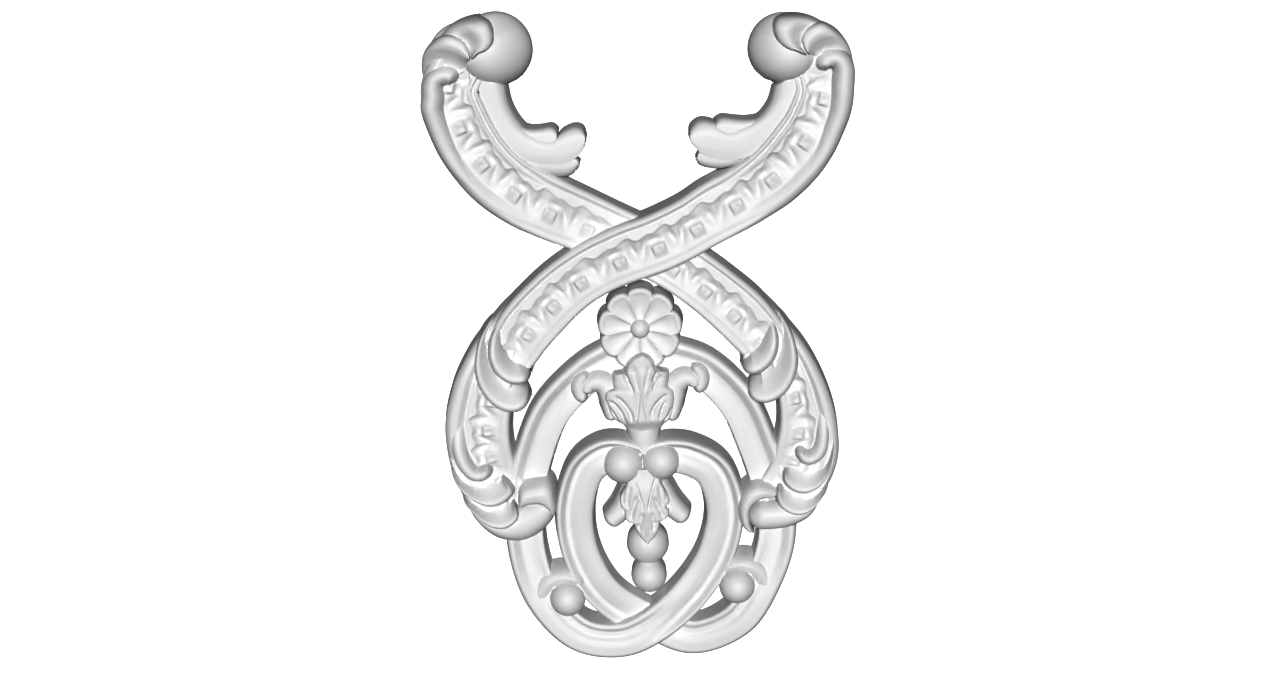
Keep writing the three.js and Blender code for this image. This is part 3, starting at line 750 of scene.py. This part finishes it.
def rosette(sizes):
    """Rings of points about the centre: each petal is a round-ended hollow between two raised ridges."""
    petals = sizes.rosette_petals
    outer = sizes.rosette_radius / METRE
    angle = np.linspace(0, 2 * math.pi, petals * 36, endpoint=False)
    turn = petals * (angle - math.pi / 2) / (2 * math.pi)
    off = 2 * np.abs(turn - np.round(turn))
    edge = outer * (1 - 0.13 * (1 - np.sqrt(1 - off**2 * 0.98)))
    out = 1 - (1 - np.linspace(0.1, 1, 48)) ** 1.5
    reach = out[:, None] * edge
    hollow = through((0, 0.3, 0.55, 0.8, 0.93, 1), (0.2, 0.9, 1.5, 1.1, 0.1, 0), out)[:, None]
    hollow = hollow * (1 - off**2.4)
    bowl = through((0, 0.3, 0.6, 0.85, 1), (16.2, 16.4, 17.2, 17.9, 17.9), out)[:, None]
    notch = hump(1 - off, 0.12) * ramp(out - 0.8, 0.2)[:, None]
    lift = bowl - hollow - edge_drop(edge - reach, 2.6) - notch
    lift = np.vstack([lift, np.zeros(len(angle))])
    reach = np.vstack([reach, edge + 1])
    x, z = reach * np.cos(angle), reach * np.sin(angle)
    flower = closed(np.stack([x, -lift, z], -1))
    return [flower, dome((0, 0), sizes.boss_radius / METRE, 14.5, 21, swell=2.1)]


def palmette():
    """Leaf between two serrated edges on a neck, with grooves from its margins to its base and a horn with
    a curled tip on each side."""
    left = ((-62.5, -59, -56, -52, -46, -42, -39, -37, -36.2, -33, -28.5, -26.8, -25.8, -23.5, -20.2,
             -16.5, -14),
            (-8.4, -10.5, -14.5, -17.5, -19.4, -21, -20.8, -18.5, -15.4, -16.2, -16.2, -14.8, -10, -9, -8,
             -4, 0.4))
    right = ((-62.5, -59, -54.5, -48, -42, -37.6, -35.8, -34.6, -31, -26.8, -25, -24.2, -22.8, -19.5, -16,
              -14),
             (12.4, 14.5, 18, 19.8, 20.6, 20, 18, 16.3, 16.8, 17, 15, 10.4, 9.3, 8.4, 5.6, 1.6))

    def lift(x, z, across):
        """Convex body that is low at its base, with a rib down its middle that widens to the base."""
        rib = hump(x - 1 - 0.02 * (z + 38), 1.6 + 0.1 * np.clip(-36 - z, 0, 30))
        return 22.5 - 3 * np.abs(across) ** 2.6 - 5 * (1 - ramp(z + 63, 9)) + 0.9 * rib * ramp(-22 - z, 6)

    strokes = (
        ([(1.1, -15.6), (-2.7, -17.2), (-6, -20.6), (-7, -24.5), (-5.6, -29), (-3, -35), (-2, -42)],
         1.0, 1.0),
        ([(1.1, -15.6), (4.5, -17.2), (7, -21), (7.4, -25), (5.8, -30), (4, -36), (3.6, -42)], 1.0, 1.0),
        ([(-2.6, -20), (-3.6, -25), (-2.6, -31), (-1.4, -37)], 1.5, -1.0),
        ([(5, -20), (5.4, -25), (4.4, -31), (3.2, -37)], 1.5, -1.0),
        ([(0.2, -34), (-0.8, -45), (-1.9, -53), (-2.8, -61)], 0.6, -1.1),
        ([(1.7, -34), (2.5, -44), (3.9, -51.5), (6.5, -61)], 0.6, -1.1),
        ([(-11, -23.5), (-8.6, -27), (-6.4, -31.5)], 0.9, -2.6),
        ([(11.6, -22.5), (9.2, -27), (7.4, -31.5)], 0.9, -2.6),
        ([(-10.6, -26.5), (-7.2, -31.1), (-5.3, -34), (-4, -39)], 1.3, -1.7),
        ([(13, -26), (10.6, -30.5), (8.9, -33.4), (7.4, -38)], 1.3, -1.7),
        ([(-16, -39), (-10.6, -43.6), (-7.8, -47.1), (-5.6, -51.2), (-4, -57.5)], 1.2, -2.2),
        ([(-20, -42), (-14.5, -46), (-11.7, -49.5), (-9.5, -54.2), (-7.6, -60)], 1.1, -1.9),
        ([(17, -38), (12.3, -42.2), (9.5, -45.4), (7.6, -48.9), (6.8, -54)], 1.2, -2.0),
        ([(15.8, -41), (13.7, -46.5), (12.6, -49.5), (11.6, -55)], 0.9, -1.6),
        ([(19.4, -46), (16.8, -52.1), (14.6, -55.1), (13, -59.5)], 0.8, -1.2),
        ([(-17.4, -48), (-14.6, -52.6), (-12, -57.5)], 0.7, -1.0),
    )
    return [
        lobe([(17.5, -58), (20.3, -50), (20.9, -42), (21, -36.5), (23.4, -33), (27.2, -31), (31.6, -32.2),
              (33.6, -37)],
             (4, 5, 5.6, 6.8, 7.6, 7.2, 5.8, 3.6), 17.5, roll, tips=(4, 3)),
        lobe([(30.6, -22.4), (35, -26.4), (36.6, -31.4), (35.4, -36), (31.6, -37.4)],
             (2.2, 4.4, 5.2, 5, 3.6), 16.5, roll, tips=(3, 3.4)),
        lobe([(-15.8, -58), (-18.2, -50), (-18.6, -43), (-19.4, -38), (-21.8, -34.8), (-26, -33.6),
              (-30.4, -35.6), (-32.4, -41)], (4, 4.8, 5.6, 6.8, 7.4, 7, 5.6, 3.6), 17.5, roll, tips=(4, 3)),
        lobe([(-31, -27.6), (-35.2, -32), (-36.4, -37.4), (-34.8, -42), (-30.6, -43.4)],
             (2.2, 4.4, 5.2, 5, 3.6), 16.5, roll, tips=(3, 3.4)),
        lobe([(2, -56), (2, -74), (2, -94)], (9, 9.6, 11.5), 13, pillow, tips=(1, 1)),
        lobe([(2.4, -57), (2.4, -68), (2.2, -79)], (9.6, 9, 4), 18.5, pillow, tips=(1, 4),
             tops=(1, 0.98, 0.85)),
        carved(left, right, lift, strokes, 3.2),
    ]


# Pendant

def pendant(sizes):
    """Bell body with two flared tongues under a serrated leaf, whose grooves run from its stem to its
    margins, over two balls."""
    left = ((-133.6, -130.8, -126.7, -122.2, -120.8, -120.2, -116.7, -112.4, -111, -109.3, -105, -100, -97,
             -92, -86),
            (4.5, 1.3, -1.7, -3.4, -3.9, -6.8, -9.1, -9.4, -11, -11.6, -11.9, -10.2, -8.5, -7, -6))
    right = ((-133.6, -128.5, -123.1, -119.3, -118.7, -117.6, -114.9, -112, -110.4, -109.2, -106.8, -102.3,
              -98.7, -94, -86),
             (4.9, 9.8, 11.9, 12.4, 14.4, 16, 17.5, 17.4, 15.8, 16.4, 17.8, 16.5, 14.8, 12.5, 11))

    def lift(x, z, across):
        """Convex body that is lower towards its tip."""
        return 22.4 - 2.2 * np.abs(across) ** 2.2 - 1.5 * ramp(z + 101, 12)

    strokes = (
        ([(-3, -93), (-1.6, -98), (0, -103.5), (2.7, -113.5)], 0.7, -1.5),
        ([(9.6, -90), (8, -96), (6.4, -103), (4.3, -113.5)], 0.7, -1.5),
        ([(3.5, -108), (3.9, -117), (4.6, -131)], 0.9, 0.8),
        ([(-1.4, -101), (-3, -107), (-4.4, -112), (-5.6, -119.5)], 1.3, -1.6),
        ([(-5, -96), (-6.6, -101), (-7.4, -106), (-7, -112)], 1.2, -1.2),
        ([(-8.4, -97), (-9.9, -101), (-10.2, -105), (-9.6, -109.5)], 0.9, -0.9),
        ([(8, -102), (10.4, -108), (12.4, -112.4), (14.8, -118.6)], 1.3, -1.6),
        ([(10.8, -95), (12.2, -100), (13, -105), (14.4, -110.5)], 1.2, -1.2),
        ([(13.2, -94), (15, -98.5), (15.9, -102.5), (16.2, -107)], 0.9, -0.9),
        ([(1.6, -112), (0.3, -118.9), (-0.6, -126)], 1.3, -1.3),
        ([(6.8, -112), (8.1, -118.9), (8, -126)], 1.3, -1.3),
    )
    return [
        lobe([(2, -80), (2.4, -96), (3.2, -108), (4, -122)], (10, 14.4, 15.4, 12), 16, pillow, tips=(2, 4)),
        lobe([(-3, -94), (-7, -106), (-12.5, -116), (-20.5, -124)], (6, 7.2, 7, 5.8), 17, pillow,
             tips=(4, 4.5)),
        lobe([(10, -94), (15.5, -106), (21.5, -114.5), (29.4, -121.6)], (6, 7.2, 7, 5.6), 17, pillow,
             tips=(4, 4.5)),
        dome((5.6, -158), sizes.end_ball_radius / METRE, 9, 21),
        dome((4.8, -137.5), sizes.drop_ball_radius / METRE, 8, 21),
        carved(left, right, lift, strokes, 1.6),
    ]


# Materials

def primer():
    """Matt primed polyurethane: fine grain and faint mottling."""
    name = "primed polyurethane"
    if name in bpy.data.materials:
        return bpy.data.materials[name]
    finish = bpy.context.scene.ornament_finish
    material = bpy.data.materials.new(name)
    material.use_nodes = True
    nodes, links = material.node_tree.nodes, material.node_tree.links
    shader = nodes["Principled BSDF"]
    shader.inputs["Roughness"].default_value = 0.55
    shader.inputs["Specular IOR Level"].default_value = 0.35
    place = nodes.new("ShaderNodeTexCoord")

    def noise(scale, detail):
        """Noise over the places of the object."""
        node = nodes.new("ShaderNodeTexNoise")
        node.inputs["Scale"].default_value = scale
        node.inputs["Detail"].default_value = detail
        links.new(place.outputs["Object"], node.inputs["Vector"])
        return node

    grain = noise(900, 3)
    mottle = noise(28, 4)
    mix = nodes.new("ShaderNodeMix")
    mix.data_type = "RGBA"
    mix.inputs["A"].default_value = (*finish.primer_dark, 1)
    mix.inputs["B"].default_value = (*finish.primer_light, 1)
    links.new(mottle.outputs["Fac"], mix.inputs["Factor"])
    links.new(mix.outputs["Result"], shader.inputs["Base Color"])
    bump = nodes.new("ShaderNodeBump")
    bump.inputs["Strength"].default_value = 0.05
    bump.inputs["Distance"].default_value = 0.0002
    links.new(grain.outputs["Fac"], bump.inputs["Height"])
    links.new(bump.outputs["Normal"], shader.inputs["Normal"])
    return material


# Stage, light and camera

def add_stage():
    """A pale floor under the ornament, light from the camera, the back and both flanks, and the camera
    a little above the middle of the ornament."""
    scene = bpy.context.scene
    size = 30
    mesh = bpy.data.meshes.new("floor")
    level = CASTING_LOW.z - 0.25
    corners = [(-size, -size, level), (size, -size, level), (size, size, level), (-size, size, level)]
    mesh.from_pydata(corners, [], [(0, 1, 2, 3)])
    floor = bpy.data.objects.new("floor", mesh)
    scene.collection.objects.link(floor)
    floor.visible_diffuse = False
    floor.visible_glossy = False
    floor.visible_shadow = False
    paint = bpy.data.materials.new("pale floor")
    paint.use_nodes = True
    shader = paint.node_tree.nodes["Principled BSDF"]
    shader.inputs["Base Color"].default_value = (0.9, 0.9, 0.9, 1)
    shader.inputs["Roughness"].default_value = 0.9
    shader.inputs["Emission Color"].default_value = (1, 1, 1, 1)
    shader.inputs["Emission Strength"].default_value = 1.0
    mesh.materials.append(paint)

    world = bpy.data.worlds.new("studio")
    scene.world = world
    world.use_nodes = True
    nodes, links = world.node_tree.nodes, world.node_tree.links
    background = nodes["Background"]
    background.inputs["Strength"].default_value = 1
    path = nodes.new("ShaderNodeLightPath")
    mix = nodes.new("ShaderNodeMix")
    mix.data_type = "RGBA"
    mix.inputs["A"].default_value = (0.18, 0.18, 0.18, 1)
    mix.inputs["B"].default_value = (1, 1, 1, 1)
    links.new(path.outputs["Is Camera Ray"], mix.inputs["Factor"])
    links.new(mix.outputs["Result"], background.inputs["Color"])

    pitch = math.radians(CAMERA_PITCH)
    aim = Vector((0, 0, AIM_HEIGHT * METRE))
    back = Vector((0, -math.cos(pitch), math.sin(pitch)))
    camera_data = bpy.data.cameras.new("camera")
    camera_data.lens = 45
    camera_data.sensor_width = 36
    camera = bpy.data.objects.new("camera", camera_data)
    camera.location = aim + back * CAMERA_DISTANCE * METRE
    camera.rotation_euler = (-back).to_track_quat("-Z", "Y").to_euler()
    scene.collection.objects.link(camera)
    scene.camera = camera

    flank = Vector((math.cos(math.radians(30)), math.sin(math.radians(30)), 0))
    lights = (("key", back, 3.1), ("rear", -back, 1.8), ("right flank", flank, 0.45),
              ("left flank", flank * Vector((-1, 1, 1)), 0.45))
    for name, direction, strength in lights:
        light_data = bpy.data.lights.new(name, "SUN")
        light_data.energy = strength
        light_data.angle = math.radians(14)
        light = bpy.data.objects.new(name, light_data)
        light.rotation_euler = direction.to_track_quat("Z", "Y").to_euler()
        light.location = aim + direction
        scene.collection.objects.link(light)

    scene.view_settings.view_transform = "Standard"
    scene.view_settings.gamma = 0.37


# Add-on classes

def drawn_length(name, description, drawn):
    """A property in metres, whose default is given in drawn millimetres."""
    return FloatProperty(name=name, description=description, default=drawn * METRE, min=0, unit="LENGTH")


class OrnamentSizes(bpy.types.PropertyGroup):
    band_width: drawn_length("Band width", "Width of the two crossing bands", BAND_WIDTH)
    scroll_width: drawn_length("Scroll width", "Width of the outer scrolls", SCROLL_WIDTH)
    ring_width: drawn_length("Ring width", "Width of the ring and heart strands", RING_WIDTH)
    head_ball_radius: drawn_length("Head ball radius", "Radius of the balls at the two heads", 20)
    heart_ball_radius: drawn_length("Heart ball radius", "Radius of the balls on the heart", 12)
    volute_ball_radius: drawn_length("Volute ball radius", "Radius of the balls in the volutes", 11)
    rosette_radius: drawn_length("Rosette radius", "Radius of the rosette over its petals", 25)
    rosette_petals: IntProperty(name="Rosette petals", description="Number of petals in the rosette",
                                default=9, min=3)
    boss_radius: drawn_length("Boss radius", "Radius of the boss of the rosette", 5.8)
    drop_ball_radius: drawn_length("Drop ball radius", "Radius of the upper ball of the pendant", 13)
    end_ball_radius: drawn_length("End ball radius", "Radius of the lowest ball of the pendant", 11)


class OrnamentFinish(bpy.types.PropertyGroup):
    primer_light: FloatVectorProperty(name="Primer", description="Colour of the primer",
                                      default=(0.8, 0.8, 0.8), min=0, max=1, size=3, subtype="COLOR")
    primer_dark: FloatVectorProperty(name="Thin primer", description="Colour of the primer where it is thin",
                                     default=(0.76, 0.76, 0.76), min=0, max=1, size=3, subtype="COLOR")


class ORNAMENT_OT_front_band(bpy.types.Operator):
    """Add the band from the upper right"""
    bl_idname = "ornament.front_band"
    bl_label = "Add the front band"

    def execute(self, context):
        put_piece("front_band", front_band(context.scene.ornament_sizes))
        return {"FINISHED"}


class ORNAMENT_OT_back_band(bpy.types.Operator):
    """Add the band from the upper left"""
    bl_idname = "ornament.back_band"
    bl_label = "Add the back band"

    def execute(self, context):
        put_piece("back_band", back_band(context.scene.ornament_sizes))
        return {"FINISHED"}


class ORNAMENT_OT_heads(bpy.types.Operator):
    """Add the two curled heads with their balls"""
    bl_idname = "ornament.heads"
    bl_label = "Add the heads"

    def execute(self, context):
        put_piece("heads", heads(context.scene.ornament_sizes))
        return {"FINISHED"}


class ORNAMENT_OT_arm_leaves(bpy.types.Operator):
    """Add the leaves on the inner sides of the arms"""
    bl_idname = "ornament.arm_leaves"
    bl_label = "Add the arm leaves"

    def execute(self, context):
        put_piece("arm_leaves", arm_leaves())
        return {"FINISHED"}


class ORNAMENT_OT_scrolls(bpy.types.Operator):
    """Add the outer scrolls with their ends"""
    bl_idname = "ornament.scrolls"
    bl_label = "Add the outer scrolls"

    def execute(self, context):
        put_piece("scrolls", scrolls(context.scene.ornament_sizes))
        return {"FINISHED"}


class ORNAMENT_OT_band_ends(bpy.types.Operator):
    """Add the crescents that end the bands"""
    bl_idname = "ornament.band_ends"
    bl_label = "Add the band ends"

    def execute(self, context):
        put_piece("band_ends", band_ends())
        return {"FINISHED"}


class ORNAMENT_OT_ring(bpy.types.Operator):
    """Add the strands of the ring and heart with their balls"""
    bl_idname = "ornament.ring"
    bl_label = "Add the ring and heart"

    def execute(self, context):
        put_piece("ring", ring(context.scene.ornament_sizes))
        return {"FINISHED"}


class ORNAMENT_OT_rosette(bpy.types.Operator):
    """Add the rosette with its boss"""
    bl_idname = "ornament.rosette"
    bl_label = "Add the rosette"

    def execute(self, context):
        put_piece("rosette", rosette(context.scene.ornament_sizes))
        return {"FINISHED"}


class ORNAMENT_OT_palmette(bpy.types.Operator):
    """Add the palmette with its horns and neck"""
    bl_idname = "ornament.palmette"
    bl_label = "Add the palmette"

    def execute(self, context):
        put_piece("palmette", palmette())
        return {"FINISHED"}


class ORNAMENT_OT_pendant(bpy.types.Operator):
    """Add the pendant under the heart balls"""
    bl_idname = "ornament.pendant"
    bl_label = "Add the pendant"

    def execute(self, context):
        put_piece("pendant", pendant(context.scene.ornament_sizes))
        return {"FINISHED"}


class ORNAMENT_OT_stage(bpy.types.Operator):
    """Add the floor, the light and the camera"""
    bl_idname = "ornament.stage"
    bl_label = "Add the stage"

    def execute(self, context):
        add_stage()
        return {"FINISHED"}


OPERATORS = (
    ORNAMENT_OT_front_band, ORNAMENT_OT_back_band, ORNAMENT_OT_heads, ORNAMENT_OT_arm_leaves,
    ORNAMENT_OT_scrolls, ORNAMENT_OT_band_ends, ORNAMENT_OT_ring, ORNAMENT_OT_rosette,
    ORNAMENT_OT_palmette, ORNAMENT_OT_pendant, ORNAMENT_OT_stage,
)


class ORNAMENT_PT_panel(bpy.types.Panel):
    """Sizes, colours and operators of the ornament"""
    bl_label = "Ornament"
    bl_idname = "ORNAMENT_PT_panel"
    bl_space_type = "VIEW_3D"
    bl_region_type = "UI"
    bl_category = "Ornament"

    def draw(self, context):
        layout = self.layout
        for group in (context.scene.ornament_sizes, context.scene.ornament_finish):
            for name in group.__annotations__:
                layout.prop(group, name)
        for operator in OPERATORS:
            layout.operator(operator.bl_idname)


CLASSES = (OrnamentSizes, OrnamentFinish, *OPERATORS, ORNAMENT_PT_panel)


def register():
    for kind in CLASSES:
        bpy.utils.register_class(kind)
    bpy.types.Scene.ornament_sizes = PointerProperty(type=OrnamentSizes)
    bpy.types.Scene.ornament_finish = PointerProperty(type=OrnamentFinish)


def unregister():
    del bpy.types.Scene.ornament_finish
    del bpy.types.Scene.ornament_sizes
    for kind in reversed(CLASSES):
        bpy.utils.unregister_class(kind)


def main():
    register()
    bpy.ops.ornament.front_band()
    bpy.ops.ornament.back_band()
    bpy.ops.ornament.heads()
    bpy.ops.ornament.arm_leaves()
    bpy.ops.ornament.scrolls()
    bpy.ops.ornament.band_ends()
    bpy.ops.ornament.ring()
    bpy.ops.ornament.rosette()
    bpy.ops.ornament.palmette()
    bpy.ops.ornament.pendant()
    bpy.ops.ornament.stage()


if __name__ == "__main__":
    main()
